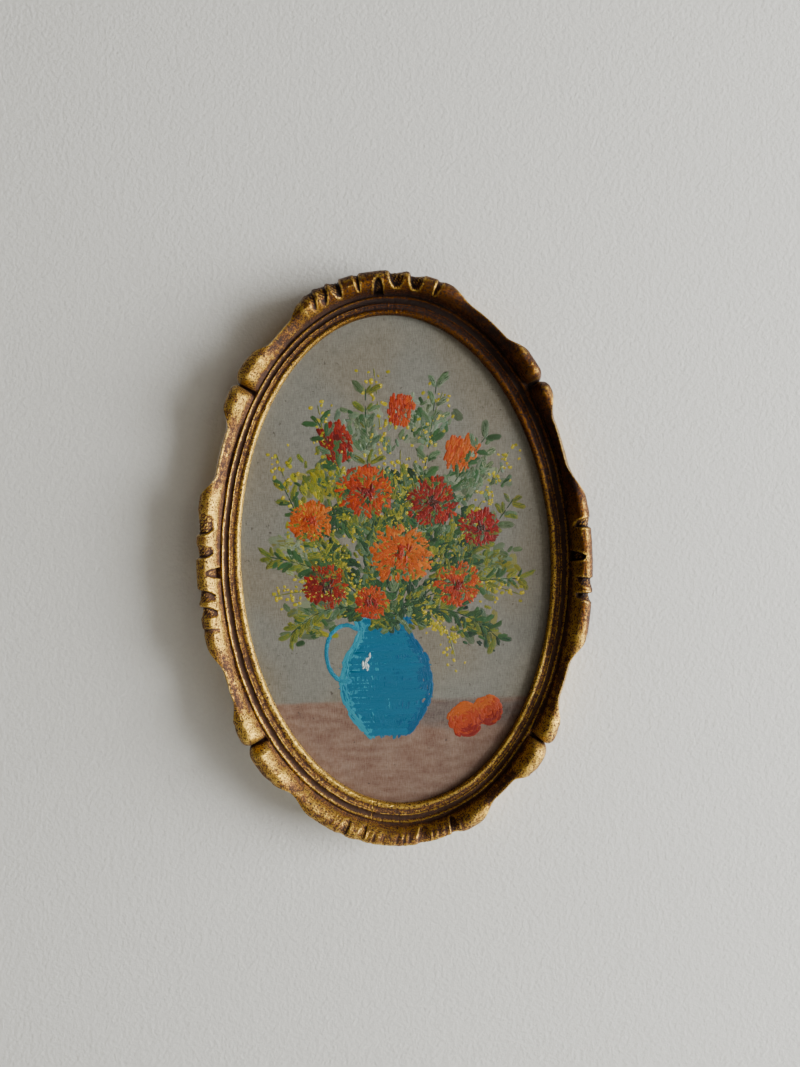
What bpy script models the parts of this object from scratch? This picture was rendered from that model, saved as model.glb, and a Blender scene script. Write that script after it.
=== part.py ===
"""A small oval picture in a carved giltwood frame, as it hangs on a wall.

The wall is the plane y = 0 and the picture faces -Y, with +Z up. The origin is the mouth of
the nail hole in the back of the top rail. A place on the frame is given by its angle round the
oval, its distance outward from the sight edge and its height in front of the wall.
"""

import math

import bmesh
import bpy
from mathutils import Matrix, Vector

# The oval opening that shows the picture
SIGHT_WIDTH = 0.1312
SIGHT_HEIGHT = 0.2066
SIGHT_TURN = math.radians(-0.9)
SIGHT_SHIFT = 0.0006

# The rail, from the sight edge to the outline, and its depth from the wall to the ridge
RAIL_WIDTH = 0.0176
FRAME_DEPTH = 0.0180
NECK_WIDTH = 0.0140
NECK_DEPTH = 0.0156

# The panel, the room behind it for the brads, and the rebate that takes both
PANEL_THICKNESS = 0.0045
PANEL_CLEARANCE = 0.0008
SEAT_GAP = 0.0003
BACK_ROOM = 0.0035
REBATE_LAP = 0.0045
REBATE_DEPTH = BACK_ROOM + PANEL_THICKNESS + SEAT_GAP

# The run mouldings beside the sight edge, as distance from it and rise above the lip
LIP_THICKNESS = 0.0013
LIP_HEIGHT = REBATE_DEPTH + LIP_THICKNESS
MOULDINGS = (
    (0.0000, 0.0000),
    (0.0009, 0.0012),
    (0.0021, 0.0011),
    (0.0026, 0.0003),
    (0.0037, 0.0013),
    (0.0052, 0.0001),
    (0.0067, 0.0024),
    (0.0080, 0.0006),
)
HOLLOW, HOLLOW_RISE = MOULDINGS[-1]

# The cutter ran off line: the mouldings spread by this share at upper right and lower left,
# and draw together by as much on the other diagonal
MOULDING_DRIFT = 0.09

# The carved roll, from its foot in that last hollow out to the back edge. Each point gives its
# share of the way to the outline and of the depth: at full girth, at a neck and in a notch.
FULL_ROLL = (
    (0.05, 0.70),
    (0.15, 0.86),
    (0.32, 0.97),
    (0.50, 1.0),
    (0.72, 0.94),
    (0.92, 0.75),
    (1.0, 0.46),
    (0.92, 0.0),
)
NECK_ROLL = (
    (0.08, 0.80),
    (0.22, 0.93),
    (0.40, 0.99),
    (0.60, 0.97),
    (0.75, 0.72),
    (0.88, 0.46),
    (0.96, 0.22),
    (1.0, 0.0),
)
NOTCH_ROLL = (
    (0.12, 0.55),
    (0.28, 0.54),
    (0.46, 0.52),
    (0.62, 0.49),
    (0.76, 0.43),
    (0.83, 0.31),
    (0.83, 0.15),
    (0.82, 0.0),
)
ROLL_HEART = (0.55, 0.45)

# Girth of the roll by angle round the oval, anticlockwise from the right-hand crest: 0 at a
# neck of NECK_WIDTH, 1 at RAIL_WIDTH. It was cut by eye, so the four quarters differ.
GIRTHS = (
    (0, 1.07), (9, 1.06), (20, -0.08), (30, 0.02), (37, 0.85), (46, 0.92), (53, 0.2), (64, 0.22), (75, 0.98),
    (90, 1.1), (100, 1.1), (110, 1.4), (120, 0.14), (126, 0.1), (134, 1.2), (143, 1.06), (150, -0.06),
    (160, -0.1), (167, 1.0), (180, 0.97), (196, 0.9), (204, 0.1), (210, 0.2), (218, 1.18), (228, 1.25),
    (237, 0.32), (244, 0.72), (252, 0.75), (270, 0.63), (283, 0.5), (290, 0.95), (298, 0.06), (304, 0.06),
    (311, 1.25), (319, 1.2), (328, -0.05), (335, -0.05), (344, 1.1), (360, 1.07),
)
NOTCH_ANGLES = (39.8, 138.8, 221.8, 316.2)
KNUCKLE_ROUND = 0.0052

# Gouge cuts on each crest: distance of the cut's rim from the middle of the crest, its length
# along the rail, its depth and how much its rim slants. Each is named by its crest's angle.
CREST_CUTS = {
    0: (
        (0.0106, 0.0080, 0.0018, 0.5),
        (-0.0098, 0.0060, 0.0015, 0.0),
        (-0.0163, 0.0040, 0.0024, 0.1),
    ),
    90: (
        (0.0010, 0.0085, 0.0017, 1.0),
        (0.0101, 0.0075, 0.0022, 1.0),
        (0.0225, 0.0030, 0.0009, 0.2),
        (-0.0112, 0.0028, 0.0011, 0.1),
        (-0.0196, 0.0052, 0.0018, 0.1),
        (-0.0250, 0.0045, 0.0009, 0.8),
        (-0.0305, 0.0030, 0.0007, 0.8),
    ),
    180: (
        (0.0025, 0.0085, 0.0020, 0.8),
        (0.0115, 0.0100, 0.0017, 0.8),
        (0.0222, 0.0030, 0.0008, 0.2),
        (-0.0096, 0.0070, 0.0020, 0.9),
        (-0.0171, 0.0068, 0.0020, 0.9),
        (-0.0272, 0.0030, 0.0007, 0.2),
    ),
    270: (
        (0.0053, 0.0080, 0.0011, 0.3),
        (0.0207, 0.0045, 0.0014, 0.1),
        (-0.0172, 0.0040, 0.0009, 0.2),
        (-0.0246, 0.0045, 0.0009, 0.2),
    ),
}
CUT_SLANT = 0.0142
CUT_SLANT_END = 0.86
CUT_WALL = 0.16
CUT_RUN_OUT = 1.3
CUT_INNER_END = (0.12, 0.32)
CUT_FADE = 0.35

# The drop-shaped punch on the inner flank of three of the crests: its place along the rail
PUNCHES = {0: -0.0015, 90: -0.0030, 180: -0.0031}
PUNCH_WIDTH = 0.0038
PUNCH_DEPTH = 0.0016
PUNCH_SPAN = (0.06, 0.52)
PUNCH_WALL = 0.6

# The nail hole in the back of the top rail, and the brads that hold the panel
NAIL_HOLE_DIAMETER = 0.0070
NAIL_HOLE_DEPTH = 0.0075
BRAD_DIAMETER = 0.0012
BRAD_HEAD_DIAMETER = 0.0021
BRAD_HEAD_THICKNESS = 0.0004
BRAD_LENGTH = 0.0105
BRAD_BITE = 0.0045
BRAD_ANGLES = (10, 63, 117, 190, 243, 297)
CUTTER_OVERRUN = 0.001

# Fineness of the faceted solids
FINE_STEP = 0.0022
COARSE_STEP = 0.0042
ROLL_POINTS = 10
SIDE_CREST = 0.27
END_CREST = 0.37
PANEL_SIDES = 96
BRAD_SIDES = 8
HOLE_SIDES = 24

GILT = (0.62, 0.42, 0.16, 1.0)
PAINT_GROUND = (0.52, 0.50, 0.45, 1.0)
IRON = (0.16, 0.14, 0.12, 1.0)


def smooth(share):
    share = min(1.0, max(0.0, share))
    return share * share * (3 - 2 * share)


def outline_point(angle):
    """The nominal outline: the untilted sight oval set out by the rail's width."""
    x, z = SIGHT_WIDTH / 2 * math.cos(angle), SIGHT_HEIGHT / 2 * math.sin(angle)
    normal = Vector((x / SIGHT_WIDTH**2, z / SIGHT_HEIGHT**2)).normalized()
    return Vector((x, z)) + normal * RAIL_WIDTH


def sight_point(angle):
    """The sight edge, which was cut a little turned and to the right of the outline."""
    x, z = SIGHT_WIDTH / 2 * math.cos(angle), SIGHT_HEIGHT / 2 * math.sin(angle)
    turned = Matrix.Rotation(-SIGHT_TURN, 2) @ Vector((x, z))
    return turned + Vector((SIGHT_SHIFT, 0.0))


def place(angle, out, height):
    """A point at this distance out from the sight edge and height in front of the wall."""
    across = (outline_point(angle) - sight_point(angle)) * (out / RAIL_WIDTH)
    x, z = sight_point(angle) + across
    return Vector((x, -height, z))


def girth(angle):
    here = math.degrees(angle) % 360
    for (start, first), (end, last) in zip(GIRTHS, GIRTHS[1:]):
        if here <= end:
            return first + (last - first) * smooth((here - start) / (end - start))


def outline_speed(angle):
    """Metres along the outline for each radian of the angle."""
    width, height = SIGHT_WIDTH / 2 + RAIL_WIDTH, SIGHT_HEIGHT / 2 + RAIL_WIDTH
    return math.hypot(width * math.sin(angle), height * math.cos(angle))


def from_notch(angle):
    """Distance along the outline to the nearest notch."""
    degrees = min(abs((math.degrees(angle) - notch + 180) % 360 - 180) for notch in NOTCH_ANGLES)
    return math.radians(degrees) * outline_speed(angle)


def notch_openness(angle):
    """0 at the bottom of a notch, rising in a round shoulder to 1 on the knuckle beside it."""
    share = min(1.0, from_notch(angle) / KNUCKLE_ROUND)
    return math.sqrt(1.0 - (1.0 - share) ** 2)


def along_crest(angle, crest):
    """Signed distance along the rail from the middle of a crest, rightwards or upwards."""
    x, z = outline_point(angle)
    ahead = x * math.cos(math.radians(crest)) + z * math.sin(math.radians(crest))
    if ahead <= 0:
        return None
    return x if crest in (90, 270) else z


def gouge_share(ahead, length):
    """Depth of one gouge cut at this distance past its rim: a steep wall and a long run-out."""
    if not 0 < ahead < length:
        return 0.0
    share = ahead / length
    if share < CUT_WALL:
        return smooth(share / CUT_WALL)
    return ((1 - share) / (1 - CUT_WALL)) ** CUT_RUN_OUT


def gouged(here, cuts, across):
    """Depth of a crest's gouge cuts. Their rims curve away from its middle towards the foot."""
    start, end = CUT_INNER_END
    reach = smooth((across - start) / (end - start))
    lean = CUT_SLANT * max(0.0, 1 - across / CUT_SLANT_END) ** 2
    depths = []
    for rim, length, most, slant in cuts:
        past_rim = math.copysign(here, here * rim) - abs(rim) - slant * lean
        depths.append(most * gouge_share(past_rim, length - slant * lean))
    return reach * max(depths)


def punched(aside, across):
    """Depth of the drop-shaped punch, broad at the roll's foot and pointed outward."""
    start, end = PUNCH_SPAN
    share = (across - start) / (end - start)
    if not 0 < share < 1:
        return 0.0
    half = PUNCH_WIDTH / 2 * math.sqrt(1 - share)
    return PUNCH_DEPTH * smooth((1 - abs(aside) / half) / PUNCH_WALL)


def cut_depth(angle, across):
    """How far the tools took the roll down. across runs from its inner foot 0 to the back 1."""
    depth = 0.0
    for crest, cuts in CREST_CUTS.items():
        here = along_crest(angle, crest)
        if here is None:
            continue
        depth = max(depth, gouged(here, cuts, across))
        if crest in PUNCHES:
            depth = max(depth, punched(here - PUNCHES[crest], across))
    return depth


def along_curve(points, share):
    """A smooth curve through the points, read at this share of the way along it."""
    span = share * (len(points) - 1)
    i = min(int(span), len(points) - 2)
    t = span - i
    p = [points[min(max(j, 0), len(points) - 1)] for j in (i - 1, i, i + 1, i + 2)]
    return tuple(
        0.5
        * (
            2 * p[1][c]
            + (p[2][c] - p[0][c]) * t
            + (2 * p[0][c] - 5 * p[1][c] + 4 * p[2][c] - p[3][c]) * t * t
            + (3 * p[1][c] - p[0][c] - 3 * p[2][c] + p[3][c]) * t**3
        )
        for c in (0, 1)
    )


def spread(angle):
    """How much wider than planned the run mouldings were cut at this angle."""
    return 1 + MOULDING_DRIFT * math.sin(2 * angle)


def roll_section(shares, here, hollow, share):
    """(out, height) on one section of the roll, sized for the girth here, from its hollow out."""
    width = NECK_WIDTH + (RAIL_WIDTH - NECK_WIDTH) * here
    depth = NECK_DEPTH + (FRAME_DEPTH - NECK_DEPTH) * min(1.0, max(0.0, here))
    foot = (0.0, (LIP_HEIGHT + HOLLOW_RISE) / depth)
    out, high = along_curve((foot,) + shares, share)
    return Vector((hollow + out * (width - hollow), high * depth))


def roll_point(angle, share):
    """(out, height) of the carved roll at a share of the way from its inner foot to the back."""
    here = girth(angle)
    hollow = HOLLOW * spread(angle)
    full = roll_section(FULL_ROLL, here, hollow, share)
    neck = roll_section(NECK_ROLL, here, hollow, share)
    floor = roll_section(NOTCH_ROLL, here, hollow, share)
    point = neck.lerp(full, min(1.0, max(0.0, here)))
    point = floor.lerp(point, notch_openness(angle))
    heart = Vector((HOLLOW + ROLL_HEART[0] * (RAIL_WIDTH - HOLLOW), ROLL_HEART[1] * FRAME_DEPTH))
    depth = cut_depth(angle, share) * smooth(point.y / (CUT_FADE * FRAME_DEPTH))
    return tuple(point + (heart - point).normalized() * depth)


def rail_profile():
    """The rail's section as (kind, value) pairs, in order round it."""
    mouldings = [("moulding", i) for i in range(len(MOULDINGS) - 1)]
    roll = [("roll", i / (ROLL_POINTS - 1)) for i in range(ROLL_POINTS)]
    back = [("fixed", (REBATE_LAP, 0.0)), ("fixed", (REBATE_LAP, REBATE_DEPTH)), ("fixed", (0.0, REBATE_DEPTH))]
    return mouldings + roll + back


def section_point(angle, kind, value):
    """(out, height) of one point of the rail's section at this angle."""
    if kind == "roll":
        return roll_point(angle, value)
    if kind == "moulding":
        out, rise = MOULDINGS[value]
        return out * spread(angle), LIP_HEIGHT + rise
    return value


def is_carved(angle):
    """Whether this angle lies among a crest's cuts or beside a notch."""
    on_side = abs(math.sin(angle)) < SIDE_CREST
    at_end = abs(math.cos(angle)) < END_CREST
    return on_side or at_end or from_notch(angle) < KNUCKLE_ROUND


def station_angles():
    """Angles round the oval, close together where it is carved, with one in each notch."""
    angles, angle = [], 0.0
    while angle < 2 * math.pi:
        angles.append(angle)
        angle += (FINE_STEP if is_carved(angle) else COARSE_STEP) / outline_speed(angle)
    spare = 2 * math.pi / angle
    angles = [a * spare for a in angles]
    for notch in map(math.radians, NOTCH_ANGLES):
        nearest = min(range(len(angles)), key=lambda i: abs(angles[i] - notch))
        angles[nearest] = notch
    return angles


def drop_to_centre():
    """Distance from the nail hole, in the middle of the back of the top rail, to the oval's."""
    back_edge = roll_section(FULL_ROLL, 1.0, HOLLOW, 1.0).x
    return place(math.pi / 2, (REBATE_LAP + back_edge) / 2, 0.0).z


def material(name, colour, roughness, metallic):
    made = bpy.data.materials.new(name)
    made.use_nodes = True
    shader = made.node_tree.nodes["Principled BSDF"]
    shader.inputs["Base Color"].default_value = colour
    shader.inputs["Roughness"].default_value = roughness
    shader.inputs["Metallic"].default_value = metallic
    return made


def finished_object(name, bm, finish, crease=40):
    """Writes the mesh out as an object hung from the nail hole."""
    bmesh.ops.recalc_face_normals(bm, faces=bm.faces)
    mesh = bpy.data.meshes.new(name)
    bm.to_mesh(mesh)
    bm.free()
    mesh.shade_smooth()
    mesh.set_sharp_from_angle(angle=math.radians(crease))
    if finish:
        mesh.materials.append(finish)
    made = bpy.data.objects.new(name, mesh)
    made.location.z = -drop_to_centre()
    bpy.context.scene.collection.objects.link(made)
    return made


def make_frame(finish):
    """The rail's section spun round, then each point moved to its place on the carved oval."""
    profile = rail_profile()
    stations = station_angles()
    bm = bmesh.new()
    number = bm.verts.layers.int.new("profile_point")
    section = []
    for i, point in enumerate(profile):
        out, height = section_point(0.0, *point)
        vert = bm.verts.new((RAIL_WIDTH + out, 0.0, height))
        vert[number] = i
        section.append(vert)
    edges = [bm.edges.new(pair) for pair in zip(section, section[1:] + section[:1])]
    full_turn = {"cent": (0, 0, 0), "axis": (0, 0, 1), "angle": 2 * math.pi, "steps": len(stations)}
    bmesh.ops.spin(bm, geom=section + edges, use_merge=True, **full_turn)
    step = 2 * math.pi / len(stations)
    for vert in bm.verts:
        station = round(math.atan2(vert.co.y, vert.co.x) / step) % len(stations)
        angle = stations[station]
        vert.co = place(angle, *section_point(angle, *profile[vert[number]]))
    return finished_object("carved_frame", bm, finish)


def rod(bm, radius, start, end, sides):
    """A closed round rod between two points."""
    axis = end - start
    turn = axis.to_track_quat("Z", "Y").to_matrix().to_4x4()
    bmesh.ops.create_cone(
        bm,
        cap_ends=True,
        segments=sides,
        radius1=radius,
        radius2=radius,
        depth=axis.length,
        matrix=Matrix.Translation((start + end) / 2) @ turn,
    )


def brad_height():
    """Height of a brad's axis, its head just clear of the panel's back."""
    return BACK_ROOM - SEAT_GAP - BRAD_HEAD_DIAMETER / 2


def cut_holes(frame):
    """The nail hole and the brads' holes, as one cutter for the frame."""
    bm = bmesh.new()
    centre = Vector((0.0, 0.0, drop_to_centre()))
    deep = Vector((0.0, NAIL_HOLE_DEPTH, 0.0))
    past = Vector((0.0, CUTTER_OVERRUN, 0.0))
    rod(bm, NAIL_HOLE_DIAMETER / 2, centre - deep, centre + past, HOLE_SIDES)
    for degrees in BRAD_ANGLES:
        angle = math.radians(degrees)
        start = place(angle, REBATE_LAP - CUTTER_OVERRUN, brad_height())
        end = place(angle, REBATE_LAP + BRAD_BITE + SEAT_GAP, brad_height())
        rod(bm, BRAD_DIAMETER / 2 + SEAT_GAP, start, end, BRAD_SIDES)
    cutter = finished_object("hole_cutter", bm, None)
    cutter.hide_render = True
    cutter.display_type = "WIRE"
    holes = frame.modifiers.new("Holes", "BOOLEAN")
    holes.operation = "DIFFERENCE"
    holes.solver = "EXACT"
    holes.object = cutter


def make_panel(finish):
    """The board that carries the painting, lying in the rebate behind the sight edge."""
    bm = bmesh.new()
    bmesh.ops.create_circle(bm, cap_ends=True, segments=PANEL_SIDES, radius=1.0)
    front = REBATE_DEPTH - SEAT_GAP
    for vert in bm.verts:
        angle = math.atan2(vert.co.y, vert.co.x)
        vert.co = place(angle, REBATE_LAP - PANEL_CLEARANCE, front)
    raised = bmesh.ops.extrude_face_region(bm, geom=list(bm.faces))
    moved = [v for v in raised["geom"] if isinstance(v, bmesh.types.BMVert)]
    bmesh.ops.translate(bm, verts=moved, vec=(0.0, PANEL_THICKNESS, 0.0))
    return finished_object("painted_panel", bm, finish)


def make_brad(index, degrees, finish):
    """One brad: its shank bites into the rebate's wall and its head lies over the panel."""
    angle = math.radians(degrees)
    tip = place(angle, REBATE_LAP + BRAD_BITE, brad_height())
    outward = (tip - place(angle, REBATE_LAP, brad_height())).normalized()
    head = tip - outward * BRAD_LENGTH
    profile = (
        (0.0, 0.0),
        (BRAD_HEAD_DIAMETER / 2, 0.0),
        (BRAD_HEAD_DIAMETER / 2, BRAD_HEAD_THICKNESS),
        (BRAD_DIAMETER / 2, BRAD_HEAD_THICKNESS),
        (BRAD_DIAMETER / 2, BRAD_LENGTH),
        (0.0, BRAD_LENGTH),
    )
    bm = bmesh.new()
    verts = [bm.verts.new((radius, 0.0, along)) for radius, along in profile]
    edges = [bm.edges.new(pair) for pair in zip(verts, verts[1:])]
    turn = {"cent": (0, 0, 0), "axis": (0, 0, 1), "angle": 2 * math.pi, "steps": BRAD_SIDES}
    bmesh.ops.spin(bm, geom=verts + edges, use_merge=True, **turn)
    bmesh.ops.remove_doubles(bm, verts=bm.verts, dist=1e-6)
    aim = Matrix.Translation(head) @ outward.to_track_quat("Z", "Y").to_matrix().to_4x4()
    bmesh.ops.transform(bm, matrix=aim, verts=bm.verts)
    return finished_object(f"brad_{index}", bm, finish)


def main():
    for old in list(bpy.data.objects):
        bpy.data.objects.remove(old)
    gilt = material("giltwood", GILT, 0.42, 0.8)
    paint = material("oil_paint", PAINT_GROUND, 0.5, 0.0)
    iron = material("iron", IRON, 0.6, 0.7)
    cut_holes(make_frame(gilt))
    make_panel(paint)
    for index, degrees in enumerate(BRAD_ANGLES, start=1):
        make_brad(index, degrees, iron)


main()
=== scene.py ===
"""The finish of a small oval flower picture in a carved giltwood frame, hung on a wall.

The wall is the plane y = 0, the picture faces -Y and +Z is up. A place on the frame is given by
its angle round the oval, its distance outward from the sight edge and its height in front of the
wall. A place on the picture is x and z from the middle of the oval.
"""

import math
import random

import bmesh
import bpy
import numpy as np
from mathutils import Matrix, Vector, noise


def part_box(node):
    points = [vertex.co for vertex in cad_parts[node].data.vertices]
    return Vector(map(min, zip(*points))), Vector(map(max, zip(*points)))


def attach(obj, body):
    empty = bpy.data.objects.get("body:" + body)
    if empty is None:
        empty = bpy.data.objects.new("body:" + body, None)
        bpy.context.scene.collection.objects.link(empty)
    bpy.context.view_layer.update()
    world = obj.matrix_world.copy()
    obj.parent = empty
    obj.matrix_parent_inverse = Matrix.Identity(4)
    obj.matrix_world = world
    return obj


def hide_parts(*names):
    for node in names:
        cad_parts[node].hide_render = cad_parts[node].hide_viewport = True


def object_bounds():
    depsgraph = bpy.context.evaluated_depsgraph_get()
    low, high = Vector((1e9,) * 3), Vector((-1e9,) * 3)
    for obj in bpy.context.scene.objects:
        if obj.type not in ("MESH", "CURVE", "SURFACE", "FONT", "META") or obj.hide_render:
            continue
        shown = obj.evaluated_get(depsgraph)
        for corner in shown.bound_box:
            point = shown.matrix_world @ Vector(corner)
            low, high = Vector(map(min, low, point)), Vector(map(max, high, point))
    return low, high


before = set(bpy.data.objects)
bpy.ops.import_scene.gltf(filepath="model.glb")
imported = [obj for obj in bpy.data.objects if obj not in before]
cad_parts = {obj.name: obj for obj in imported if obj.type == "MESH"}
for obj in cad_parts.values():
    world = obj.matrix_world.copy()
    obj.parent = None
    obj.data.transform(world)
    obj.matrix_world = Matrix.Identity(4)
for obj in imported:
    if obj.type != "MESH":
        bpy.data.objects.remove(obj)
solid_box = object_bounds()

# The oval opening, the rail and the rebate, as the model has them
SIGHT_WIDTH = 0.1312
SIGHT_HEIGHT = 0.2066
SIGHT_TURN = math.radians(-0.9)
SIGHT_SHIFT = 0.0006
RAIL_WIDTH = 0.0176
FRAME_DEPTH = 0.0180
NECK_WIDTH = 0.0140
NECK_DEPTH = 0.0156
REBATE_LAP = 0.0045
REBATE_DEPTH = 0.0083
LIP_HEIGHT = 0.0096
PANEL_CLEARANCE = 0.0008

PANEL_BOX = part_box("painted_panel")
MIDDLE = (PANEL_BOX[0].z + PANEL_BOX[1].z) / 2
PICTURE_FRONT = -PANEL_BOX[0].y
PICTURE_BACK = -PANEL_BOX[1].y
BRUSH_RELIEF = 0.00003

# The run mouldings as they were cut: out from the sight edge and rise above the lip
MOULDINGS = (
    (0.0, 0.0), (0.00015, 0.0007), (0.0006, 0.00120), (0.0012, 0.00132), (0.0018, 0.00118),
    (0.0023, 0.00096), (0.0028, 0.00098), (0.0033, 0.00110), (0.0038, 0.00118), (0.0041, 0.00142),
    (0.0043, 0.00135), (0.0047, 0.00105), (0.0053, 0.00080), (0.0059, 0.00085), (0.0063, 0.0011),
    (0.0066, 0.0015), (0.0069, 0.0018), (0.0072, 0.0017), (0.0076, 0.0014), (0.0080, 0.0013),
)
HOLLOW, HOLLOW_RISE = MOULDINGS[-1]
MOULDING_DRIFT = 0.09
MOULDING_WAVER = 0.00022
MOULDING_DENTS = 0.00010
STEADY_SHARE = 0.12
MOULDING_COLUMNS = 31
# Where dirt and bare bole lie between the mouldings: place, half width and how thick
MOULDING_DIRT = ((0.0053, 0.0010, 0.55), (0.0081, 0.0009, 0.60))
CHANNEL_END = 0.0089
CHANNEL_FADE = 0.0009
CHANNEL_DIRT = 0.70
# The outer half of the roll is darker: bole and dirt, and painted shade that also dulls its highlight on the
# right
OUTER_DIRT_AND_SHADE = 0.74
OUTER_DIRT_AND_SHADE_SPAN = (0.36, 0.76)
# Painted shade: a brown glaze darkens the top, most to the right of its middle; the same glaze is also old
# varnish
VARNISH_AND_SHADE_TINT = (0.20, 0.11, 0.05, 1)
TOP_SHADE = 1.2
TOP_SHADE_ANGLE = math.radians(60)
TOP_SHADE_FALL = 1.1
# A little old varnish lies all over the roll, and painted shade darkens the outer half of its right crest,
# dulling its highlight there
ROLL_GRIME = 0.20
ROLL_FADE = 0.0020
CREST_SHADE = 0.70
SHADED_CREST = (0.93, 0.97)
SHADED_OUTER = (0.60, 0.80)
# Most of the glaze is kept off the crisp edges, which are rubbed bright and carry a painted highlight, as
# far out as this share of the rail
RUBBED_AND_LIT = 0.65
RUBBED_AND_LIT_REACH = 0.95
RUBBED_AND_LIT_FADE = 0.1
# How far a point stands off its near and far surroundings where it counts as high, and as an edge,
# and how many rounds of softening give those surroundings
NEAR_RELIEF = 0.00016
FAR_RELIEF = 0.0024
EDGE_START = 0.00007
EDGE_RISE = 0.00005
NEAR_ROUNDS = 3
FAR_ROUNDS = 26

# The carved roll's crown at full girth and the floor of a notch, from the foot to the outline, as
# shares of the roll's width and of the frame's depth
CROWN = (
    (0.05, 0.68), (0.15, 0.84), (0.32, 0.96), (0.50, 1.0), (0.72, 0.965), (0.92, 0.81), (1.0, 0.46),
)
BACK_TUCK = 0.0007
# Painted shade on the outer side: darkest at the wall and gone at this height
SIDE_SHADE = 0.0075
FLOOR = (
    (0.12, 0.55), (0.28, 0.54), (0.46, 0.52), (0.62, 0.49), (0.76, 0.43), (0.83, 0.31), (0.83, 0.15),
    (0.82, 0.0),
)
ROLL_HEART = (0.55, 0.45)
NECK_BEVEL = 0.0024
CROWN_COLUMNS = 31
SIDE_COLUMNS = 8
BACK_COLUMNS = 4
CROWN_SHARE = 0.875
CROWN_SAMPLES = 241
CROWN_CROWDING = 1.1
SIDE_BEVEL = 0.45
# Unevenness left by the carver's tools and by wear: how deep, and how far it may stand proud
BROAD_MARKS = 0.00020
FINE_MARKS = 0.00007
PROUD_MARKS = 0.0001

# Girth of the roll by angle, and the four notches between the knuckles
GIRTHS = (
    (0, 1.07), (9, 1.06), (20, -0.08), (30, 0.02), (37, 0.85), (46, 0.92), (53, 0.2), (64, 0.22), (75, 0.98),
    (90, 1.1), (100, 1.1), (110, 1.4), (120, 0.14), (126, 0.1), (134, 1.2), (143, 1.06), (150, -0.06),
    (160, -0.1), (167, 1.0), (180, 0.97), (196, 0.9), (204, 0.1), (210, 0.2), (218, 1.18), (228, 1.25),
    (237, 0.32), (244, 0.72), (252, 0.75), (270, 0.63), (283, 0.5), (290, 0.95), (298, 0.06), (304, 0.06),
    (311, 1.25), (319, 1.2), (328, -0.05), (335, -0.05), (344, 1.1), (360, 1.07),
)
NOTCH_ANGLES = (39.8, 138.8, 221.8, 316.2)
KNUCKLE_ROUND = 0.0048
WEDGE_HALF = (0.0009, 0.0001)

# Gouge cuts on each crest: rim, length along the rail, depth and where on its length a cut's round
# inner end lies, from 0 at the rim to 1 at the far end
CREST_CUTS = {
    0: (
        (0.0104, 0.0050, 0.0018, 0.2),
        (-0.0098, 0.0052, 0.0015, 0.1),
        (-0.0163, 0.0042, 0.0026, 0.5),
    ),
    90: (
        (0.0010, 0.0080, 0.0017, 0.70),
        (0.0101, 0.0075, 0.0022, 0.70),
        (0.0225, 0.0030, 0.0009, 0.2),
        (-0.0112, 0.0028, 0.0011, 0.3),
        (-0.0196, 0.0050, 0.0018, 0.2),
        (-0.0250, 0.0050, 0.0010, 0.95),
        (-0.0305, 0.0036, 0.0008, 0.95),
    ),
    180: (
        (0.0025, 0.0068, 0.0021, 0.7),
        (0.0118, 0.0115, 0.0019, 0.6),
        (-0.0096, 0.0062, 0.0021, 0.85),
        (-0.0168, 0.0056, 0.0021, 0.85),
        (-0.0262, 0.0034, 0.0007, 0.5),
    ),
    270: (
        (0.0053, 0.0070, 0.0007, 0.5),
        (0.0207, 0.0045, 0.0012, 0.4),
        (-0.0172, 0.0040, 0.0006, 0.4),
        (-0.0246, 0.0045, 0.0006, 0.4),
    ),
}
CUT_START = 0.25
CUT_FULL = 0.80
CUT_DISH = 0.15
CUT_WALL = 0.16
CUT_BEVEL = 0.30
CUT_BOWL = 2.0
CUT_ROUGH = 0.00020
CUT_FADE = 0.35
# A gouge this deep or more is full of dirt
CUT_GRIMY_DEPTH = 0.0018

PUNCHES = {0: -0.0015, 90: -0.0030, 180: -0.0031}
PUNCH_WIDTH = 0.0052
PUNCH_DEPTH = 0.0021
PUNCH_SPAN = (0.0, 0.55)
PUNCH_WALL = 0.24
PUNCH_POINT = 2.2

# The row of shallow irregular cuts on the bottom crest, by distance along and share across
RIPPLE_DEPTH = 0.00016
RIPPLE_HALF_ROW = 0.034
RIPPLE_ROW_AT = -0.004
RIPPLE_FADE = 0.008
RIPPLE_START = 0.40
RIPPLE_RISE = 0.2

# The hairline crack across the mouldings at the foot, by distance from the middle of the crest
CRACK_START = -0.0197
CRACK_LEAN = 0.45
CRACK_BOW = 12.0
CRACK_SPAN = (0.0007, 0.0078)
CRACK_HALF = 0.00022
CRACK_DEPTH = 0.00060
CRACK_DIRT = 2.4
CRACK_WAVER = 0.00010
CRACK_FADES = (0.0005, 0.002)

# Spacing of the stations round the frame: at the crack, with its margins before and after, on the
# crests and knuckles, and elsewhere. A crest reaches to this sine at the sides, cosine at the ends
CRACK_STEP = 0.00012
CRACK_MARGINS = (0.0006, 0.0002)
FINE_STEP = 0.00036
COARSE_STEP = 0.00074
SIDE_CREST = 0.30
END_CREST = 0.40

NAIL_HOLE_RADIUS = 0.0035
NAIL_HOLE_DEPTH = 0.0075
NAIL_HOLE_MARGIN = 0.0012

# The camera, from the photograph's framing: height of the view at the frame and its angle
VIEW_HEIGHT = 0.450
VIEW_ANGLE = math.radians(67.0)
VIEW_ASIDE = 0.0028
VIEW_ABOVE = 0.0107
VIEW_ROLL = math.radians(1.8)
VIEW_PLANE = 0.010


# Curves and places that all of it shares


def tone(red, green, blue):
    """A colour as an eye reads it, 0 to 255, in the linear values that a shader takes."""
    return tuple((c / 255) ** 2.2 for c in (red, green, blue)) + (1.0,)


def smooth(share):
    share = np.clip(share, 0.0, 1.0)
    return share * share * (3 - 2 * share)


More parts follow.
